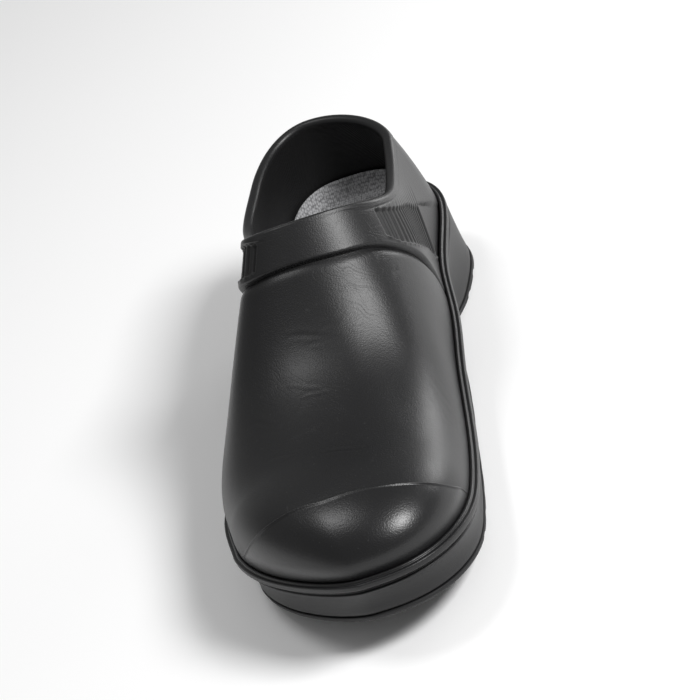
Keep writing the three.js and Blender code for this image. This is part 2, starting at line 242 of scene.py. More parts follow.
# %% Places on the shoe
def plan_place(turn, reach, side, grow):
    """Station and x. turn: 0 at the back, 1 to 2 along the side, 3 at the toe."""
    turn, reach, side, grow = np.broadcast_arrays(turn, reach, side, grow)
    back = np.cos(np.clip(turn, 0, 1) * np.pi / 2) ** (2 / FAN_SPREAD)
    back_station = HEEL_CENTRE - (HEEL_CENTRE + grow) * reach * back
    heel_round = COLLAR_ROUNDNESS + (HEEL_ROUNDNESS - COLLAR_ROUNDNESS) * reach**20
    back_share = reach * (1 - back**heel_round) ** (1 / heel_round)
    ahead = np.sin(np.clip(turn - 2, 0, 1) * np.pi / 2) ** (2 / FAN_SPREAD)
    edge = np.where(side > 0, TOE_ROUNDNESS["inner"], TOE_ROUNDNESS["outer"])
    round_here = 2 + (edge - 2) * reach**2
    toe_station = TOE_CENTRE + (SHOE_LENGTH - TOE_CENTRE + grow) * reach * ahead
    toe_share = reach * np.maximum(0, 1 - ahead**round_here) ** (1 / round_here)
    side_station = HEEL_CENTRE + (turn - 1) * (TOE_CENTRE - HEEL_CENTRE)
    station = np.where(turn < 1, back_station, np.where(turn <= 2, side_station, toe_station))
    share = np.where(turn < 1, back_share, np.where(turn <= 2, reach, toe_share))
    half = np.where(side > 0, inner_half(station), outer_half(station))
    return station, middle(station) + side * (half + grow) * share


def upper_place(turn, rise, side, out=0.0):
    """x, station and height of a place on the upper, stood off outwards."""
    probe, _ = plan_place(turn, 0.7, side, 0.0)
    reach = np.sqrt(np.maximum(0, 1 - rise ** fullness(probe)))
    station, x = plan_place(turn, reach, side, out - WELT_STEP)
    lean = HEEL_LEAN * (1 - smooth(0.15, 0.4, station / SHOE_LENGTH))
    lean = lean + BACK_LEAN * (1 - smooth(-0.02, 0.14, station / SHOE_LENGTH))
    x = x - lean * rise / 0.4
    slope = (ridge(station + 1) - ridge(station - 1)) / 2
    low = foot(station) + SEAM
    return x, station, low + rise * (ridge(station) + out * np.hypot(1, slope) - low)


def to_frame(x, station, z):
    """Millimetres in shoe terms to metres in the row's frame."""
    shift_x, shift_station = MIDDLE_OF_BOX
    return np.stack(
        np.broadcast_arrays((x + shift_x) / 1000, (shift_station - station) / 1000, z / 1000),
        axis=-1,
    )


def turn_of(at):
    """Turn of a station, given as a share of the length, along the straight side."""
    return 1 + (at * SHOE_LENGTH - HEEL_CENTRE) / (TOE_CENTRE - HEEL_CENTRE)


print("ball:", round(float(inner_half(200) + outer_half(200)), 1), "mm across the welt")

# %% [markdown]
# From a net of places to a mesh
#
# A moulded wall has no seams to sew, so each piece is one net of rows and columns. The net
# comes from Blender's grid primitive, its corners are laid on the surface, doubles are
# merged where both sides meet, and fine steps are raised along the surface's own normals.


# %% Helpers for nets
def net_normals(points, rows_close, columns_close):
    """Unit normals of a net of points, shared where places coincide."""
    ahead_row = np.roll(points, -1, axis=0)
    ahead_column = np.roll(points, -1, axis=1)
    ahead_both = np.roll(ahead_row, -1, axis=1)
    face = np.cross(ahead_both - points, ahead_row - ahead_column)
    if not rows_close:
        face[-1] = 0
    if not columns_close:
        face[:, -1] = 0
    total = face + np.roll(face, 1, axis=0)
    total = total + np.roll(total, 1, axis=1)
    keys = np.round(points.reshape(-1, 3) * 1e7).astype(np.int64)
    _, owner = np.unique(keys, axis=0, return_inverse=True)
    owner = owner.reshape(-1)
    summed = np.zeros((owner.max() + 1, 3))
    np.add.at(summed, owner, total.reshape(-1, 3))
    normals = summed[owner].reshape(points.shape)
    return normals / np.maximum(np.linalg.norm(normals, axis=-1, keepdims=True), 1e-12)


def face_outward(normals, points, place):
    """The normals, turned round if the one at a place points to the net's middle."""
    away = normals[place] @ (points[place] - points.mean((0, 1)))
    return normals if away > 0 else -normals


def select_only(piece):
    bpy.ops.object.select_all(action="DESELECT")
    piece.select_set(True)
    bpy.context.view_layer.objects.active = piece


def net_piece(name, points, rows_close=False, columns_close=False, marks=None):
    """Mesh over a net of points, rows by columns, welded where places coincide.

    marks: named shares per point, kept as attributes for the materials."""
    marks = dict(marks or {})
    if rows_close:
        points = np.concatenate([points, points[:1]], axis=0)
        marks = {key: np.concatenate([m, m[:1]], axis=0) for key, m in marks.items()}
    if columns_close:
        points = np.concatenate([points, points[:, :1]], axis=1)
        marks = {key: np.concatenate([m, m[:, :1]], axis=1) for key, m in marks.items()}
    rows, columns = points.shape[:2]
    bpy.ops.object.select_all(action="DESELECT")
    bpy.ops.mesh.primitive_grid_add(
        x_subdivisions=columns - 1, y_subdivisions=rows - 1, size=1, location=(0, 0, 0)
    )
    piece = bpy.context.object
    piece.name = name
    piece.data.name = name
    piece.data.vertices.foreach_set("co", points.reshape(-1).astype(np.float32))
    for key, mark in marks.items():
        layer = piece.data.attributes.new(key, "FLOAT", "POINT")
        layer.data.foreach_set("value", mark.reshape(-1).astype(np.float32))
    piece.data.update()
    bpy.ops.object.mode_set(mode="EDIT")
    bpy.ops.mesh.select_all(action="SELECT")
    bpy.ops.mesh.remove_doubles(threshold=2e-6)
    bpy.ops.mesh.normals_make_consistent(inside=False)
    bpy.ops.object.mode_set(mode="OBJECT")
    bpy.ops.object.shade_smooth()
    return piece


def apply_all(piece):
    select_only(piece)
    for modifier in list(piece.modifiers):
        bpy.ops.object.modifier_apply(modifier=modifier.name)


def report(piece):
    piece.data.calc_loop_triangles()
    print(piece.name, len(piece.data.loop_triangles), "triangles")


def stretch(*spans):
    """Places along a line: spans are (end, steps), the first starts at 0."""
    made = [0.0]
    for end, steps in spans:
        start = made[-1]
        made += [start + (end - start) * (i + 1) / steps for i in range(steps)]
    return np.array(made)


print("a stretch of four steps:", stretch((1.0, 4)))

# %% [markdown]
# Heel counter, instep band and collar
#
# On the real shoe the band and quarter are moulded 1.8 mm proud of the vamp, and the ribbed
# panels are sunk into them. Four lines are laid on the wall: the band's edge, the
# panel's lower and upper edge, and the collar. The net's rows run along these lines and its
# columns follow the ribs, so each edge stays crisp. A boolean cut would leave ragged faces.

# %% Row lines of the quarter
# place: 0 at the ridge, 1 at the back of the heel; the panel lies between front and rear
PANEL_FRONT = 0.265
PANEL_REAR = 0.640
OUTER_FRONT = 0.085  # where the outer panel starts, nearer to the ridge
BAND_CORNER = 0.563  # place where the band's edge meets the foot of the wall
FOOT_LINE = [  # place, turn behind the band's corner, rise along the band's edge
    (0.000, 1.5508, 1.000),
    (0.100, 1.5346, 0.930),
    (0.200, 1.4985, 0.795),
    (0.265, 1.4708, 0.662),
    (0.303, 1.4500, 0.560),
    (0.358, 1.4100, 0.425),
    (0.451, 1.3600, 0.235),
    (0.510, 1.3300, 0.110),
    (0.563, 1.3077, 0.000),
    (0.640, 1.1900, 0.000),
    (0.760, 1.0150, 0.000),
    (0.880, 0.5000, 0.000),
    (1.000, 0.0000, 0.000),
]
LOWER_LINE = [  # place, turn, rise: the panel's lower edge
    (0.000, 1.5338, 1.000),
    (0.100, 1.5220, 0.945),
    (0.200, 1.4860, 0.805),
    (0.265, 1.4526, 0.655),
    (0.303, 1.4348, 0.557),
    (0.358, 1.3955, 0.430),
    (0.451, 1.3233, 0.260),
    (0.563, 1.2320, 0.108),
    (0.640, 1.1712, 0.018),
    (0.700, 1.0900, 0.050),
    (0.760, 1.0000, 0.090),
    (0.880, 0.5000, 0.100),
    (1.000, 0.0000, 0.100),
]
UPPER_LINE = [  # place, turn, rise: the panel's top edge
    (0.000, 1.5015, 1.000),
    (0.100, 1.4860, 0.955),
    (0.200, 1.4440, 0.825),
    (0.265, 1.4120, 0.705),
    (0.319, 1.3714, 0.588),
    (0.359, 1.3410, 0.515),
    (0.427, 1.2865, 0.414),
    (0.543, 1.1930, 0.288),
    (0.640, 1.1141, 0.205),
    (0.700, 1.0550, 0.200),
    (0.760, 0.9800, 0.200),
    (0.880, 0.4900, 0.205),
    (1.000, 0.0000, 0.200),
]
COLLAR_LINE = [  # place, turn
    (0.000, 1.4800),
    (0.100, 1.4590),
    (0.200, 1.4200),
    (0.265, 1.3850),
    (0.319, 1.3334),
    (0.359, 1.3000),
    (0.427, 1.2396),
    (0.543, 1.1400),
    (0.640, 1.0500),
    (0.760, 0.9100),
    (0.880, 0.4700),
    (1.000, 0.0000),
]


print("row lines:", [len(rows) for rows in (FOOT_LINE, LOWER_LINE, UPPER_LINE, COLLAR_LINE)])

# %% [markdown]
# From the lines to a chart
#
# Every column crosses the four lines once. The lines are mirrored over the ridge, so the
# band passes over the instep without a kink. The collar's height is known in side view, so
# the rise that meets it is found by halving.


# %% Chart of the quarter
def line_curve(rows, column):
    """Curve through a row line, mirrored over the ridge so that both sides meet smoothly."""
    mirrored = [(-row[0], *row[1:]) for row in rows[3:0:-1]]
    return curve_through(mirrored + rows, column, scale=1.0)


def collar_rise(turn, side):
    """Rise at which the wall reaches the collar's edge, found by halving."""
    low = np.full(np.shape(turn), 0.02)
    high = np.ones(np.shape(turn))
    for _ in range(40):
        half = (low + high) / 2
        _, station, z = upper_place(turn, half, side, BAND_STEP)
        below = z < collar(station)
        low = np.where(below, half, low)
        high = np.where(below, high, half)
    return (low + high) / 2


def quarter_chart(place, side):
    """Turn and wall angle of the four row lines at each column."""
    if side < 0:  # the outer panel starts higher up, nearer to the ridge
        place = np.interp(place, [0, PANEL_FRONT, PANEL_REAR, 1], [0, OUTER_FRONT, PANEL_REAR, 1])
    lines = []
    for rows in (FOOT_LINE, LOWER_LINE, UPPER_LINE):
        turn = line_curve(rows, 1)(place)
        rise = np.clip(line_curve(rows, 2)(place), 0, 1)
        if rows is FOOT_LINE:
            rise = np.where(place < BAND_CORNER, rise, 0.0)
            on_band = turn_of(band_station(rise) / SHOE_LENGTH)
            turn = np.where(place < BAND_CORNER, on_band, turn)
        lines.append([turn, np.arcsin(rise)])
    if side < 0:  # and reaches further down toward the band's edge
        share = 0.45 * (1 - smooth(0.3, 0.6, place))
        lines[1] = [a + share * (b - a) for a, b in zip(lines[1], lines[0])]
    turn = line_curve(COLLAR_LINE, 1)(place)
    lines.append([turn, np.arcsin(collar_rise(turn, side))])
    return np.array(lines)


rise_at_front = collar_rise(np.array([COLLAR_LINE[0][1]]), 1.0)
print("rise where the collar crosses the ridge:", rise_at_front.round(3))

# %% [markdown]
# Rows, columns and relief of the quarter
#
# Rows gather at the panel's edges and at the rim, where the surface turns fast, and every
# rib gets ten columns. The relief is one sum of small heights: the panel's floor, its
# slots, the lip beside it, the flat behind it and the fine seam of the heel cuff.

# %% Rows and columns of the quarter
OUTER_ROWS = np.concatenate(
    [
        stretch((0.28, 9), (0.82, 7), (1.0, 5)),
        1 + stretch((0.12, 4), (0.88, 18), (1.0, 5))[1:],
        2 + stretch((0.1, 4), (0.62, 10), (1.0, 12))[1:],
    ]
)
LOWER_ROW = 21  # the row of the panel's lower edge
columns_one_side = np.concatenate(
    [
        stretch((PANEL_FRONT, 56)),
        PANEL_FRONT + (PANEL_REAR - PANEL_FRONT) * stretch((1.0, RIB_COUNT * 10))[1:],
        PANEL_REAR + (1 - PANEL_REAR) * stretch((1.0, 64))[1:],
    ]
)


def chart_net(side):
    """Turn and rise over the outer rows and one side's columns."""
    lines = quarter_chart(columns_one_side, side)
    turns = np.empty((len(OUTER_ROWS), len(columns_one_side)))
    angles = np.empty_like(turns)
    for i, row in enumerate(OUTER_ROWS):
        j = min(int(row), 2)
        part = row - j
        turns[i] = lines[j][0] * (1 - part) + lines[j + 1][0] * part
        angles[i] = lines[j][1] * (1 - part) + lines[j + 1][1] * part
    angles[:, 0] = np.pi / 2
    return turns, np.sin(angles)


def join_sides(make):
    """Columns from the ridge round the heel and back to the ridge."""
    inner = make(1.0)
    outer = make(-1.0)
    return np.concatenate([inner, outer[:, -2::-1]], axis=1)


def base_points(side):
    turns, rises = chart_net(side)
    return to_frame(*upper_place(turns, rises, side))


print("quarter:", len(OUTER_ROWS), "rows,", len(columns_one_side), "columns a side")

# %% Relief of the quarter
CUFF_LINE = ((66.4, 61.2), (39.0, 40.5))  # station and height at its top and at the welt
CUFF_FRONT = 67.0  # the seam stops at the panel's rear corner


def beyond_cuff(station, z):
    """Millimetres behind and above the seam from the panel's rear corner to the welt."""
    (top_s, top_z), (low_s, low_z) = CUFF_LINE
    run = math.hypot(low_s - top_s, low_z - top_z)
    along_s, along_z = (low_s - top_s) / run, (low_z - top_z) / run
    return (station - top_s) * along_z - (z - top_z) * along_s


def stand_off(side):
    """Outward height of the quarter's own surface, with its panel, seams and edges."""
    turns, rises = chart_net(side)
    row = OUTER_ROWS[:, None]
    place = columns_one_side[None, :]
    wide = smooth(-0.02, 0.4, rises) * BAND_STEP - 0.012  # just inside the CAD's surface
    x, station, z = upper_place(turns, rises, side)
    points = to_frame(x, station, z) * 1000
    # The band's lower edge is rounded down to the vamp; at the foot the wall only tucks in
    edge = np.linalg.norm(points - points[:1], axis=-1)
    on_band = 1 - smooth(BAND_CORNER - 0.05, BAND_CORNER + 0.03, place)
    rounding = np.clip(1 - edge / BAND_ROUND, 0, 1) ** 2.2
    wide = wide - on_band * rounding * (wide + 1.1)
    wide = wide - (1 - on_band) * 0.25 * np.clip(1 - edge / 2.0, 0, 1) ** 2
    # The panel: a sunk floor, slots that run out above it, and a scalloped lip below it
    along = (place - PANEL_FRONT) / (PANEL_REAR - PANEL_FRONT)
    up = row - 1
    in_panel = smooth(0.0, 0.018, along) * (1 - smooth(0.985, 1.0, along))
    slot = smooth(0.45, 0.88, 0.5 - 0.5 * np.cos(2 * np.pi * along * RIB_COUNT))
    panel_floor = smooth(0.0, 0.08, up) * (1 - smooth(0.94, 1.0, up))
    sunk = in_panel * panel_floor * PANEL_DEPTH
    slot_rows = smooth(0.03, 0.12, up) * (1 - smooth(0.99, 1.04, up))
    fade_rows = smooth(1.0, 1.03, up) * (1 - smooth(1.05, 1.5, up))
    slots = in_panel * slot * (slot_rows * SLOT_DEPTH + fade_rows * SLOT_FADE)
    from_panel = np.linalg.norm(points - points[LOWER_ROW : LOWER_ROW + 1], axis=-1)
    lip = in_panel * np.exp(-((from_panel / 0.9) ** 2)) * (PANEL_LIP + 0.2 * slot)
    below_panel = up < 0.05
    wide = wide - sunk - slots + lip * below_panel
    behind = smooth(-0.5, 0.5, beyond_cuff(station, z))
    gusset = smooth(PANEL_REAR - 0.01, PANEL_REAR + 0.004, place) * (1 - behind)
    seam_line = np.exp(-((beyond_cuff(station, z) / 0.55) ** 2))
    seam_line = seam_line * (station < CUFF_FRONT) * (place > 0.6)
    return wide - gusset * GUSSET_DEPTH - seam_line * SEAM_DEPTH


outer_base = join_sides(base_points)[:, :-1]
outer_normals = face_outward(net_normals(outer_base, False, True), outer_base, (5, 100))
outer_off = join_sides(stand_off)[:, :-1] / 1000
print("quarter net:", outer_base.shape)

# %% [markdown]
# Rim, inside and foot of the shell
#
# The real rim is a soft bead, thicker than the wall, with a shallow groove under it; at the
# instep the bead runs out into the plain edge of the band. The rows stop a little below the
# edge, a half round rolls them over, and they run down the inside, which makes the wall a
# true shell. Two marks kept on the points tell the material where panel and lining lie.

# %% Rim, inside and foot of the shell
top = outer_base[-1]
up_dir = top - outer_base[-3]
up_dir /= np.linalg.norm(up_dir, axis=-1, keepdims=True)
below_top = np.linalg.norm(outer_base - top[None], axis=-1) * 1000
place_round = np.concatenate([columns_one_side, columns_one_side[-2:0:-1]])
rolled = smooth(0.14, 0.30, place_round)  # the front edge is plain, the rest has a bead
bead = (1 - smooth(3.4, 4.8, below_top)) * rolled
groove = np.exp(-(((below_top - 5.2) / 0.7) ** 2)) * rolled
outer_off = outer_off + (RIM_PROUD * bead - RIM_GROOVE * groove) / 1000
drop = (1.7 + 1.0 * rolled) / 1000  # the outer rows stop below the edge, a roll closes the rest
sunk_rows = drop * smooth(6.0, 0.0, below_top)
outer_rows = outer_base - up_dir[None] * sunk_rows[..., None]
outer_rows = outer_rows + outer_normals * outer_off[..., None]
outer_top = outer_off[-1]
inner_top = -WALL / 1000
roll_mid = ((outer_top + inner_top) / 2)[:, None]
roll_half = ((outer_top - inner_top) / 2)[:, None]
ROLL_STEPS = 12
roll = []
for i in range(1, ROLL_STEPS):
    angle = math.pi * i / ROLL_STEPS
    across = outer_normals[-1] * (roll_mid + roll_half * math.cos(angle))
    roll.append(top + across - up_dir * (drop * (1 - math.sin(angle)))[:, None])
inner_pick = list(range(len(OUTER_ROWS) - 1, -1, -1))
inner_pick = [i for i in inner_pick if i % 2 == 0 or i > len(OUTER_ROWS) - 8]
inner_rows = []  # every second row of the outside, and all of them near the rim
for i in inner_pick:
    low = outer_base[i] - up_dir * sunk_rows[i][:, None]
    inner_rows.append(low - outer_normals[i] * WALL / 1000)
quarter_net = np.concatenate([outer_rows, np.array(roll), np.array(inner_rows)], axis=0)
panel_rows = smooth(0.98, 1.04, OUTER_ROWS) * (1 - smooth(1.96, 2.0, OUTER_ROWS))
panel_columns = smooth(PANEL_FRONT, PANEL_FRONT + 0.006, place_round)
panel_columns = panel_columns * (1 - smooth(PANEL_REAR - 0.005, PANEL_REAR, place_round))
panel_mark = np.zeros(quarter_net.shape[:2])
panel_mark[: len(OUTER_ROWS)] = panel_rows[:, None] * panel_columns[None]
lining_mark = np.zeros(quarter_net.shape[:2])
lining_mark[len(OUTER_ROWS) + ROLL_STEPS - 1 :] = 1.0
quarter = net_piece(
    "quarter",
    quarter_net,
    rows_close=True,
    columns_close=True,
    marks={"panel": panel_mark, "lining": lining_mark},
)
report(quarter)

# %% [markdown]
# Vamp and toe cap
#
# The vamp is the lower level of the same wall. Its net starts under the band's edge, where a
# narrow gutter leaves the dark line the photo shows, and runs to the toe. In the toe fan the
# rows split at the cap's rear edge, so the cap's step and its fine raised line are crisp.


# %% Cap line in turns and rises
def cap_line():
    """Rise of the cap's rear edge at each turn of the toe fan."""
    found = []
    for at, high in CAP_EDGE:
        station = at * SHOE_LENGTH
        low = float(foot(station)) + SEAM
        rise = (high * INSTEP_HEIGHT - low) / (float(ridge(station)) - low)
        reach = math.sqrt(1 - rise ** float(fullness(station)))
        ahead = (station - TOE_CENTRE) / ((SHOE_LENGTH - TOE_CENTRE) * reach)
        turn = 2 + math.asin(min(1.0, ahead) ** (FAN_SPREAD / 2)) * 2 / math.pi
        found.append((turn, rise))
    found.append((3.0, 0.872))  # where the edge crosses the ridge
    return found


CAP_LINE = cap_line()
print("cap line, turn and rise:", [(round(t, 2), round(r, 2)) for t, r in CAP_LINE])
LINE_FLOOR = CAP_LINE[0][1]
cap_rise = curve_through([(2.0, LINE_FLOOR), *CAP_LINE], 1, scale=1.0)

# %% [markdown]
# Rows and columns of the vamp
#
# The vamp's first column lies 4.5 mm behind the band's edge, under the band, as the real
# skin runs on beneath it. Below and above the cap's edge the rows are shared out apart, so
# one row is the edge itself.

# %% Chart of the vamp
BELOW_LINE = stretch((0.06, 4), (0.85, 34), (1.0, 14))
ABOVE_LINE = stretch((0.12, 12), (1.0, 66))[1:]
SIDE_COLUMNS = stretch((0.05, 10), (0.12, 6), (1.0, 92))
TOE_COLUMNS = stretch((1.0, 86))[1:]
UNDER_BAND = 4.5 / (TOE_CENTRE - HEEL_CENTRE)


def vamp_chart():
    """Turn and rise over one side's rows and columns."""
    side_line = np.full(len(SIDE_COLUMNS), LINE_FLOOR)
    line = np.arcsin(np.concatenate([side_line, cap_rise(2 + TOE_COLUMNS)]))
    below = BELOW_LINE[:, None] * line[None]
    above = line[None] + ABOVE_LINE[:, None] * (np.pi / 2 - line[None])
    rises = np.sin(np.concatenate([below, above]))
    rises[-1] = 1.0
    start = turn_of(band_station(rises[:, : len(SIDE_COLUMNS)]) / SHOE_LENGTH)
    start = start - UNDER_BAND
    side_turns = start + (2 - start) * SIDE_COLUMNS[None]
    toe_turns = np.broadcast_to(2 + TOE_COLUMNS, (len(rises), len(TOE_COLUMNS)))
    return np.concatenate([side_turns, toe_turns], axis=1), rises


vamp_turns, vamp_rises = vamp_chart()
print("vamp:", vamp_turns.shape[0], "rows a side,", vamp_turns.shape[1], "columns")

# %% [markdown]
# Relief of the vamp
#
# Where the foot bends, the real shoe keeps a few shallow flex marks. Each is a soft trough
# with a low shoulder on both sides, placed in the shoe's own sizes. The widest row
# is the valley between the ridge and the inner side, the shortest a nick under the panel.

# %% Relief of the vamp
CREASES = [
    # station, x, length, turn from across in degrees, width, depth
    (173.5, -5.0, 26.0, 6.0, 1.5, 0.14),
    (176.5, -2.5, 16.0, -14.0, 1.3, 0.10),
    (180.5, -3.0, 15.0, 12.0, 1.4, 0.10),
    (170.5, 3.5, 11.0, -30.0, 1.3, 0.10),
    (193.0, -14.0, 20.0, 18.0, 1.7, 0.11),
    (199.0, -7.5, 15.0, -8.0, 1.5, 0.09),
    (203.0, -33.0, 16.0, 30.0, 1.6, 0.15),
    (227.5, -21.0, 24.0, 10.0, 1.8, 0.16),
    (231.5, -14.0, 20.0, -6.0, 1.6, 0.14),
    (235.5, 2.0, 24.0, 4.0, 1.7, 0.13),
    (189.0, 38.0, 14.0, 55.0, 1.5, 0.08),
    (196.0, 38.5, 13.0, 50.0, 1.5, 0.07),
    (203.5, 38.0, 14.0, 47.0, 1.5, 0.06),
    (186.0, 22.5, 78.0, 80.0, 13.0, 0.45),
    (143.2, 33.1, 5.0, 78.0, 0.9, 0.22),
]


def vamp_points(side):
    return to_frame(*upper_place(vamp_turns, vamp_rises, side))


def from_cap_line(side):
    """Millimetres behind the cap's rear edge, minus in front of it."""
    points = vamp_points(side) * 1000
    row = np.concatenate([BELOW_LINE, 1 + ABOVE_LINE])[:, None]
    line_row = len(BELOW_LINE) - 1
    apart = np.linalg.norm(points - points[line_row : line_row + 1], axis=-1)
    return np.where(row > 1, apart, -apart)


CAP_FADE = smooth(2.0 + 0.6 * (CAP_LINE[0][0] - 2), CAP_LINE[2][0], vamp_turns)


def cap_share(side):
    """1 on the toe cap, 0 behind it."""
    return CAP_FADE * (1 - smooth(-0.9, 1.1, from_cap_line(side)))


def vamp_off(side):
    """Outward height of the vamp's surface: gutter, cap step and raised line, creases."""
    points = vamp_points(side) * 1000
    from_band = (vamp_turns - vamp_turns[:, :1]) * (TOE_CENTRE - HEEL_CENTRE)
    off = -GUTTER_DEPTH * (1 - smooth(3.6, 7.6, from_band))
    ridge_line = CAP_FADE * np.exp(-(((from_cap_line(side) + 0.2) / 0.7) ** 2))
    step = CAP_STEP * smooth(0.02, 0.3, vamp_rises) * cap_share(side)
    off = off + step + LINE_HEIGHT * ridge_line
    x, station, _ = upper_place(vamp_turns, vamp_rises, side)
    for mid_station, mid_x, length, angle, width, depth in CREASES:
        over, ahead = math.cos(math.radians(angle)), math.sin(math.radians(angle))
        along = (x - mid_x) * over + (station - mid_station) * ahead
        apart_here = (station - mid_station) * over - (x - mid_x) * ahead
        apart_here = apart_here - 0.9 * np.sin(along / length * 5.0)  # a slight wave
        ends = np.clip(1 - (2 * along / length) ** 2, 0, 1)
        trough = np.exp(-((apart_here / (width / 2)) ** 2))
        shoulder = np.exp(-(((np.abs(apart_here) - width) / (width / 2)) ** 2))
        off = off + depth * ends * (0.5 * shoulder - trough)
    from_foot = np.linalg.norm(points - points[:1], axis=-1)
    return off - 0.1 * np.clip(1 - from_foot / 2.0, 0, 1) ** 2


def both_sides(make):
    """Rows from the inner foot over the ridge to the outer foot."""
    return np.concatenate([make(1.0), make(-1.0)[-2::-1]], axis=0)


vamp_base = both_sides(vamp_points)
vamp_normals = net_normals(vamp_base, False, False)
vamp_normals = face_outward(vamp_normals, vamp_base, (len(vamp_rises) - 1, 40))
vamp_net = vamp_base + vamp_normals * both_sides(vamp_off)[..., None] / 1000
vamp = net_piece("vamp", vamp_net, marks={"cap": both_sides(cap_share)})
solidify = vamp.modifiers.new("wall", "SOLIDIFY")
solidify.thickness = (WALL - 0.3) / 1000
solidify.offset = -1
apply_all(vamp)
report(vamp)

# %% [markdown]
# Sweeps round the outline
#
# The sole unit is cast onto the upper, so every form of it follows one outline. Each piece
# is a profile whose corners are rings round that outline, at a height over the ground or
# the foot of the wall. A curve bevel could not change its section from heel to toe.

# %% Sweeps round the outline
RING_TURNS = np.concatenate(
    [stretch((1.0, 44))[:-1], 1 + stretch((1.0, 120))[:-1], 2 + stretch((1.0, 70))]
)
RING_SIDES = ((1.0, RING_TURNS), (-1.0, RING_TURNS[-2:0:-1]))


def ring(grow_at, height_at):
    """One closed ring: inner side from back to toe, outer side back again."""
    made = []
    for side, turns in RING_SIDES:
        station, _ = plan_place(turns, 1.0, side, 0.0)
        grow = grow_at(station)
        station, x = plan_place(turns, 1.0, side, grow)
        held = np.clip(station, 0, SHOE_LENGTH)
        made.append(to_frame(x, station, height_at(held)))
    return np.concatenate(made)


def floor_rows(height_at, grow_at, reaches):
    """Rings that close a ring across its middle, for a top or underside."""
    made = []
    for reach in reaches:
        parts = []
        for side, turns in RING_SIDES:
            station, _ = plan_place(turns, 1.0, side, 0.0)
            station, x = plan_place(turns, reach, side, grow_at(station) * reach)
            parts.append(to_frame(x, station, height_at(np.clip(station, 0, SHOE_LENGTH))))
        made.append(np.concatenate(parts))
    return made


print("ring:", 2 * len(RING_TURNS) - 2, "places round the outline")

# %% [markdown]
# Welt
#
# The band round the foot of the upper, with a rounded outer edge, a shallow dip and a fine
# bead against the wall. Such a bead usually hides the joint between upper and sole.

# %% Welt
WELT_PROFILE = [
    # grow, height over the foot of the wall
    (-7.5, 0.0), (-7.5, -3.1), (-0.7, -3.1), (-0.25, -2.95), (-0.07, -2.6), (-0.03, -2.2),
    (-0.03, -1.6), (-0.03, -1.0), (-0.08, -0.6), (-0.3, -0.25), (-0.7, -0.1), (-1.2, -0.08),
    (-1.6, -0.1), (-1.8, 0.05), (-1.92, 0.45), (-2.1, 0.8), (-2.4, 1.0), (-2.9, 1.02),
    (-3.2, 0.9), (-3.38, 0.55), (-3.42, 0.0),
]
rings = [
    ring(lambda s: grow, lambda s: foot(s) + height) for grow, height in WELT_PROFILE
]
welt = net_piece("welt_band", np.array(rings), rows_close=True, columns_close=True)
report(welt)

# %% [markdown]
# Sidewall
#
# The tall wall under the welt is slightly hollow and leans in under the arch, with a groove
# near its top that the light picks out as a dark line.


# %% Sidewall
def wall_top(s):
    return foot(s) - WELT_THICK - SEAM


def wall_low(s):
    return ground(s) + LIP_HEIGHT + SEAM


SIDEWALL = [
    # share of the way up, millimetres below the top, share of the inset, extra inset
    (0.00, 0.0, 0.90, 1.3), (0.02, 0.0, 0.90, 0.9), (0.06, 0.0, 0.89, 0.6),
    (0.15, 0.0, 0.87, 0.7), (0.25, 0.0, 0.85, 0.9), (0.38, 0.0, 0.81, 1.0),
    (0.50, 0.0, 0.74, 1.0), (0.62, 0.0, 0.64, 0.95), (0.74, 0.0, 0.52, 0.85),
    (1.00, 3.1, 0.34, 0.62), (1.00, 2.7, 0.30, 0.6), (1.00, 2.4, 0.30, 0.75),
    (1.00, 2.15, 0.30, 1.3), (1.00, 1.9, 0.30, 1.6), (1.00, 1.3, 0.24, 1.7),
    (1.00, 0.8, 0.20, 1.6), (1.00, 0.5, 0.20, 1.1), (1.00, 0.2, 0.20, 0.85),
    (1.00, 0.0, 0.20, 1.1),
]
rings = floor_rows(wall_low, lambda s: -0.9 * sole_inset(s) - 1.3, (0.0, 0.3, 0.6, 0.85))
for share, below, part, extra in SIDEWALL:
    rings.append(
        ring(
            lambda s: -part * sole_inset(s) - extra,
            lambda s: wall_low(s) + share * (wall_top(s) - wall_low(s)) - below,
        )
    )
rings += floor_rows(wall_top, lambda s: -0.2 * sole_inset(s) - 1.1, (0.85, 0.6, 0.3, 0.0))
sidewall = net_piece("sidewall", np.array(rings), columns_close=True)
report(sidewall)

# %% [markdown]
# Tread plate
#
# The underside doesn't show in the photo. A work clog's tread is flat lugs with open cross
# grooves that let water out; the grooves are cut by lifting the plate's height over them.

# %% Tread plate
TREAD = [
    # millimetres up, share of the inset, extra inset
    (0.0, 1.0, 1.8), (0.5, 1.0, 1.1), (1.1, 1.0, 0.45), (1.6, 1.0, 0.0), (2.2, 0.97, 0.0),
    (2.8, 0.94, 0.05), (3.2, 0.92, 0.2), (3.4, 0.92, 0.6),
]
GROOVES = (0.045, 0.1, 0.155, 0.21, 0.5, 0.555, 0.61, 0.665, 0.72, 0.775, 0.83)
LUG_DEPTH = 2.4
LUG_GROOVE = 5.0


def lug_cut(s):
    """1 in a cross groove of the tread, 0 on a lug."""
    apart = np.min([np.abs(s - at * SHOE_LENGTH) for at in GROOVES], axis=0)
    return 1 - smooth(LUG_GROOVE / 2 - 0.9, LUG_GROOVE / 2 + 0.5, apart)


def tread_height(s, up_mm):
    return ground(s) + up_mm + np.maximum(LUG_DEPTH - up_mm, 0) * lug_cut(s)


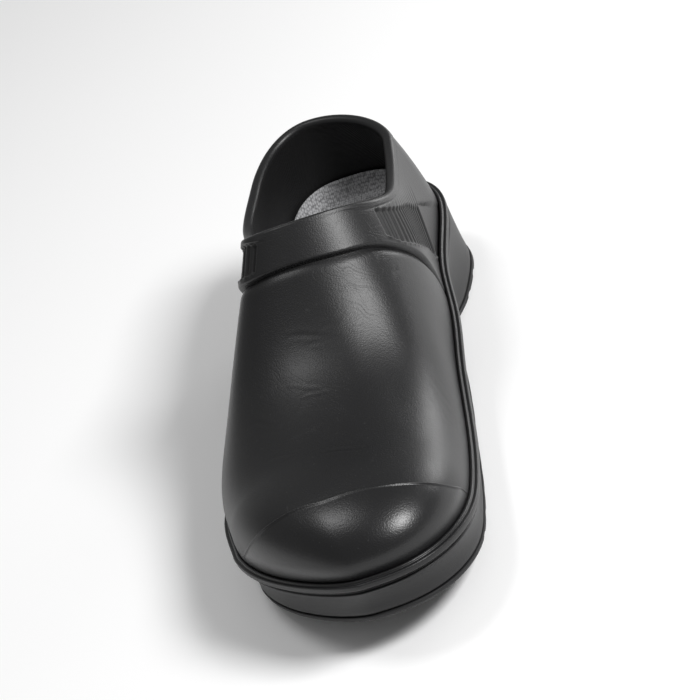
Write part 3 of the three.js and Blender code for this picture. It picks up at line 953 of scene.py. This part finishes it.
rings = floor_rows(
    lambda s: tread_height(s, 0),
    lambda s: -sole_inset(s) - 1.8,
    (0.0, 0.25, 0.5, 0.75, 0.93),
)
for up_mm, part, extra in TREAD:
    rings.append(
        ring(
            lambda s: -part * sole_inset(s) - extra,
            lambda s: tread_height(s, up_mm),
        )
    )
rings += floor_rows(
    lambda s: ground(s) + LIP_HEIGHT, lambda s: -0.92 * sole_inset(s) - 0.6, (0.85, 0.5, 0.0)
)
tread = net_piece("tread", np.array(rings), columns_close=True)
report(tread)

# %% [markdown]
# Insole
#
# A loose footbed under a knitted cover. It is flat under the ball and cups up against the
# wall round the heel, so its edge there follows the inside of the wall, not the outline.

# %% Insole
INSOLE_EDGE = WELT_STEP + LEDGE + SEAM


def seat_lift(s):
    return INSOLE_RISE + (INSOLE_SEAT - INSOLE_RISE) * (1 - smooth(0.10, 0.45, s / SHOE_LENGTH))


def cup_lift(s):
    return INSOLE_RISE + (INSOLE_CUP - INSOLE_RISE) * (1 - smooth(0.10, 0.40, s / SHOE_LENGTH))


def cover_ring(gap, share):
    """Ring of the cover a gap inside the wall, a share of the way up its cup."""
    made = []
    for side, turns in RING_SIDES:
        station, _ = plan_place(turns, 1.0, side, -INSOLE_EDGE)
        lift = seat_lift(station) + share * (cup_lift(station) - seat_lift(station))
        rise = lift / (ridge(station) - foot(station))
        x, station, _ = upper_place(turns, rise, side, -WALL - gap)
        made.append(to_frame(x, station, foot(np.clip(station, 0, SHOE_LENGTH)) + lift))
    return np.concatenate(made)


COVER_PROFILE = [  # gap to the wall, share of the cup
    (0.9, 0.80), (0.9, 0.92), (1.1, 0.98), (1.6, 1.0), (2.1, 0.93), (2.9, 0.72), (4.0, 0.45),
    (5.2, 0.24), (6.6, 0.09), (8.2, 0.01), (10.0, 0.0),
]
insole_net = floor_rows(
    lambda s: foot(s) - WELT_THICK, lambda s: -8.0, (0.0, 0.5, 0.9)
)
for height, edge in ((-WELT_THICK, 8.0), (-2.0, 7.8), (0.5, 7.8)):
    insole_net.append(ring(lambda s: -edge, lambda s: foot(s) + height))
insole_net += [cover_ring(gap, share) for gap, share in COVER_PROFILE]
insole_net += floor_rows(
    lambda s: foot(s) + seat_lift(s),
    lambda s: -WELT_STEP - WALL - 10,
    (0.93, 0.85, 0.75, 0.6, 0.45, 0.3, 0.15, 0.0),
)
insole = net_piece("insole_cover", np.array(insole_net), columns_close=True)
report(insole)

# %% [markdown]
# Materials
#
# One small class wraps a shader socket, so a material reads like arithmetic. A few words
# on top of it make the patterns: noise, thin cracks, and shares painted on the net.


# %% Shader words
class Word:
    """A shader value that can be added, multiplied and compared."""

    tree = None

    def __init__(self, socket):
        self.socket = socket

    @classmethod
    def node(cls, kind, output=0, settings=None, **inputs):
        made = cls.tree.nodes.new(kind)
        for key, value in (settings or {}).items():
            setattr(made, key, value)
        for key, value in inputs.items():
            cls.feed(made.inputs[key.replace("_", " ")], value)
        return cls(made.outputs[output])

    @classmethod
    def feed(cls, socket, value):
        if isinstance(value, Word):
            cls.tree.links.new(value.socket, socket)
        else:
            socket.default_value = value

    @classmethod
    def maths(cls, operation, *values):
        made = cls.tree.nodes.new("ShaderNodeMath")
        made.operation = operation
        for socket, value in zip(made.inputs, values):
            cls.feed(socket, value)
        return cls(made.outputs[0])

    def __add__(self, other):
        return Word.maths("ADD", self, other)

    __radd__ = __add__

    def __sub__(self, other):
        return Word.maths("SUBTRACT", self, other)

    def __rsub__(self, other):
        return Word.maths("SUBTRACT", other, self)

    def __mul__(self, other):
        return Word.maths("MULTIPLY", self, other)

    __rmul__ = __mul__

    def between(self, low, high):
        """0 below low, 1 above high, smooth between."""
        made = Word.tree.nodes.new("ShaderNodeMapRange")
        made.interpolation_type = "SMOOTHSTEP"
        Word.feed(made.inputs["Value"], self)
        made.inputs["From Min"].default_value = low
        made.inputs["From Max"].default_value = high
        return Word(made.outputs["Result"])


def colour_mix(share, first, second):
    made = Word.tree.nodes.new("ShaderNodeMix")
    made.data_type = "RGBA"
    Word.feed(made.inputs["Factor"], share)
    Word.feed(made.inputs[6], first)
    Word.feed(made.inputs[7], second)
    return Word(made.outputs[2])


def noise(where, scale, detail=3.0, roughness=0.5):
    return Word.node(
        "ShaderNodeTexNoise", Vector=where, Scale=scale, Detail=detail, Roughness=roughness
    )


def scaled(where, factors):
    made = Word.tree.nodes.new("ShaderNodeVectorMath")
    made.operation = "MULTIPLY"
    Word.feed(made.inputs[0], where)
    made.inputs[1].default_value = factors
    return Word(made.outputs[0])


def new_material(name):
    material = bpy.data.materials.new(name)
    material.use_nodes = True
    Word.tree = material.node_tree
    shader = next(n for n in material.node_tree.nodes if n.type == "BSDF_PRINCIPLED")
    return material, shader


def mark_of(name):
    """Share painted on the net's points, 0 where a piece has none."""
    return Word.node("ShaderNodeAttribute", 2, {"attribute_name": name})


def cracks(where, scale, width):
    """Thin lines between cells: 1 on a line, 0 away from it."""
    cells = Word.node(
        "ShaderNodeTexVoronoi", 0, {"feature": "DISTANCE_TO_EDGE"}, Vector=where, Scale=scale
    )
    return 1.0 - cells.between(0.0, width)


print("shader words ready")

# %% [markdown]
# Moulded polyurethane
#
# Near-black and satin, with the mould's fine grain, faint scuffs that lie lengthwise, fine
# crackle and a little dust. The panel and the lining are duller than the wall, and their colour
# is darker with painted shade: the shade in the sunk, slotted panel and inside the shoe. The toe
# cap is glossier: there the real skin is stretched smooth over its form.


# %% Moulded polyurethane
def moulded(name, dark, light, gloss, grain, coat):
    """Moulded polyurethane: colour, painted shade, scuffs and dust, gloss and mould grain."""
    material, shader = new_material(name)
    where = Word.node("ShaderNodeTexCoord", 3)
    panel = mark_of("panel")
    lining = mark_of("lining")
    cap = mark_of("cap")
    patches = noise(where, 28.0, 4.0)
    fine = noise(where, 1500.0, 2.0)
    lengthwise = scaled(where, (1.0, 0.18, 1.0))
    scuffs = noise(lengthwise, 210.0, 5.0, 0.7).between(0.62, 0.74)
    specks = noise(where, 620.0, 1.0).between(0.75, 0.79)
    wear = scuffs * patches.between(0.45, 0.65)
    bent = noise(where, 60.0, 2.0)
    wrinkles = cracks(where + bent * 0.012, 560.0, 0.08) * patches.between(0.45, 0.65)
    base = colour_mix(wear * 0.5 + specks * 0.3, (*dark, 1), (*light, 1))
    # painted shade: the sunk, slotted panel's colour is darkened to stand in for the shade in its
    # recess
    base = colour_mix(panel * 0.6, base, (0.003, 0.003, 0.0032, 1))
    # painted shade: the lining, inside the shoe, is darkened to stand in for the shade there
    base = colour_mix(lining * 0.6, base, (0.004, 0.004, 0.004, 1))
    Word.feed(shader.inputs["Base Color"], base)
    worn = patches * 0.08 + wear * 0.16 + fine * 0.05
    dull = panel * 0.18 + lining * 0.2 - cap * 0.08
    Word.feed(shader.inputs["Roughness"], worn + dull + (gloss - 0.06))
    Word.feed(shader.inputs["Coat Weight"], patches * coat + cap * 0.12)
    shader.inputs["Coat Roughness"].default_value = 0.3
    shader.inputs["Specular IOR Level"].default_value = 0.34
    wave = Word.node(
        "ShaderNodeTexWave", 1, {"bands_direction": "Y"}, Vector=where, Scale=310.0, Distortion=0.0
    )
    height = fine * grain + scuffs * 0.15 + noise(where, 160.0, 3.0) * 0.5 - wrinkles * 0.3
    height = height + wave * lining * 2.0
    bump = Word.node("ShaderNodeBump", Strength=0.5, Distance=0.00018, Height=height)
    Word.feed(shader.inputs["Normal"], bump)
    return material


black_upper = moulded(
    "black_upper", (0.008, 0.008, 0.0085), (0.05, 0.05, 0.05), gloss=0.40, grain=1.0, coat=0.12
)
black_sole = moulded(
    "black_sole", (0.010, 0.010, 0.0105), (0.05, 0.05, 0.05), gloss=0.46, grain=1.0, coat=0.1
)
black_tread = moulded(
    "black_tread", (0.009, 0.009, 0.0095), (0.04, 0.04, 0.04), gloss=0.6, grain=1.2, coat=0.0
)
print("blacks:", black_upper.name, black_sole.name, black_tread.name)

# %% [markdown]
# Knitted cover
#
# Small staggered loops in light and dark grey. Cells of a Voronoi pattern, drawn out a
# little, read as loops from this distance; they need no strand of geometry.


# %% Knitted cover
def knitted(name):
    """Grey knitted cover: small staggered loops."""
    material, shader = new_material(name)
    where = Word.node("ShaderNodeTexCoord", 3)
    loops = Word.node(
        "ShaderNodeTexVoronoi",
        Vector=scaled(where, (1.0, 0.62, 0.6)),
        Scale=1050.0,
        Randomness=0.45,
    )
    fuzz = noise(where, 2600.0, 2.0)
    tone = loops.between(0.2, 0.8) * 0.75 + fuzz * 0.25
    base = colour_mix(tone, (0.44, 0.44, 0.45, 1), (0.11, 0.11, 0.113, 1))
    Word.feed(shader.inputs["Base Color"], base)
    shader.inputs["Roughness"].default_value = 0.92
    bump = Word.node("ShaderNodeBump", Strength=0.8, Distance=0.0004, Height=1.0 - loops)
    Word.feed(shader.inputs["Normal"], bump)
    return material


grey_knit = knitted("grey_knit")
print("knit:", len(grey_knit.node_tree.nodes), "shader nodes")

# %% [markdown]
# Fasten the pieces to the frame
#
# The clog has no joints, so every piece rides the one body. Each stands in for a CAD node,
# which is hidden, and gets one of the materials above; quarter and vamp are one moulding, so
# both stand in for the upper.

# %% Fasten the pieces to the frame
PIECES = [
    (quarter, "upper", black_upper),
    (vamp, "upper", black_upper),
    (welt, "welt", black_upper),
    (sidewall, "midsole", black_sole),
    (tread, "outsole", black_tread),
    (insole, "insole", grey_knit),
]
for piece, node, material in PIECES:
    piece.data.materials.clear()
    piece.data.materials.append(material)
    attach(piece, "root")
    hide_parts(node)
    print(piece.name, "stands in for", node, "in", material.name)

# %% [markdown]
# Floor and light
#
# The shoe stands on a pale floor in soft studio light. The key light, high on the inner
# side, draws the broad streak down the band and the vamp; the top light lifts the outer
# side; a low light behind the inner side draws the narrow streak along it.

# %% Floor and lights
bpy.ops.object.select_all(action="DESELECT")
bpy.ops.mesh.primitive_plane_add(size=8, location=(0, 0, 0))
floor = bpy.context.object
floor.name = "floor"
floor_material, floor_shader = new_material("pale_floor")
floor_shader.inputs["Roughness"].default_value = 0.7
soft = noise(Word.node("ShaderNodeTexCoord", 3), 3.0)
Word.feed(
    floor_shader.inputs["Base Color"],
    colour_mix(soft, (0.93, 0.93, 0.93, 1), (0.95, 0.95, 0.95, 1)),
)
floor.data.materials.append(floor_material)

world = bpy.data.worlds.new("studio")
bpy.context.scene.world = world
world.use_nodes = True
world.node_tree.nodes["Background"].inputs["Color"].default_value = (1, 1, 1, 1)
world.node_tree.nodes["Background"].inputs["Strength"].default_value = 0.27


def softbox(name, place, aim, size, power):
    """Area light at a place, aimed at a point, both in metres."""
    light = bpy.data.lights.new(name, "AREA")
    light.shape = "RECTANGLE"
    light.size, light.size_y = size
    light.energy = power
    lamp = bpy.data.objects.new(name, light)
    bpy.context.scene.collection.objects.link(lamp)
    lamp.location = place
    lamp.rotation_euler = (Vector(aim) - Vector(place)).to_track_quat("-Z", "Y").to_euler()
    return lamp


softbox("key_light", (1.05, -0.4, 1.12), (0, 0, 0.05), (0.42, 0.42), 24)
softbox("top_light", (-0.4, 0.08, 1.6), (0, 0, 0.05), (0.4, 0.4), 6)
softbox("low_light", (0.66, 0.75, 0.17), (0.03, 0.0, 0.04), (0.4, 0.3), 3)
bpy.context.scene.view_settings.view_transform = "Standard"  # keeps the white ground white

# %% [markdown]
# Camera
#
# The camera keeps the photo's angle to the shoe and its roll. Its direction, distance and
# focal length were fitted to points of the shoe that the photo shows.

# %% Camera
CAMERA_AZIMUTH = math.radians(15.6)
CAMERA_HEIGHT = math.radians(33.1)
CAMERA_ROLL = math.radians(26.7)
CAMERA_DISTANCE = 1.0255
FOCAL_PIXELS = 2320.7
PICTURE_PIXELS = 700
SENSOR_MM = 36
target = Vector((0.0107, -0.0005, 0.05))
back = Vector(
    (
        math.sin(CAMERA_AZIMUTH) * math.cos(CAMERA_HEIGHT),
        -math.cos(CAMERA_AZIMUTH) * math.cos(CAMERA_HEIGHT),
        math.sin(CAMERA_HEIGHT),
    )
)
right = Vector((math.cos(CAMERA_AZIMUTH), math.sin(CAMERA_AZIMUTH), 0))
above = back.cross(right)
rolled_right = right * math.cos(CAMERA_ROLL) - above * math.sin(CAMERA_ROLL)
rolled_up = right * math.sin(CAMERA_ROLL) + above * math.cos(CAMERA_ROLL)
camera_data = bpy.data.cameras.new("camera")
camera_data.sensor_width = SENSOR_MM
camera_data.lens = FOCAL_PIXELS / PICTURE_PIXELS * SENSOR_MM
camera = bpy.data.objects.new("camera", camera_data)
bpy.context.scene.collection.objects.link(camera)
turned = Matrix((rolled_right, rolled_up, back)).transposed().to_4x4()
camera.matrix_world = Matrix.Translation(target + back * CAMERA_DISTANCE) @ turned
bpy.context.scene.camera = camera
print("camera:", round(camera_data.lens, 1), "mm lens at", CAMERA_DISTANCE, "m")
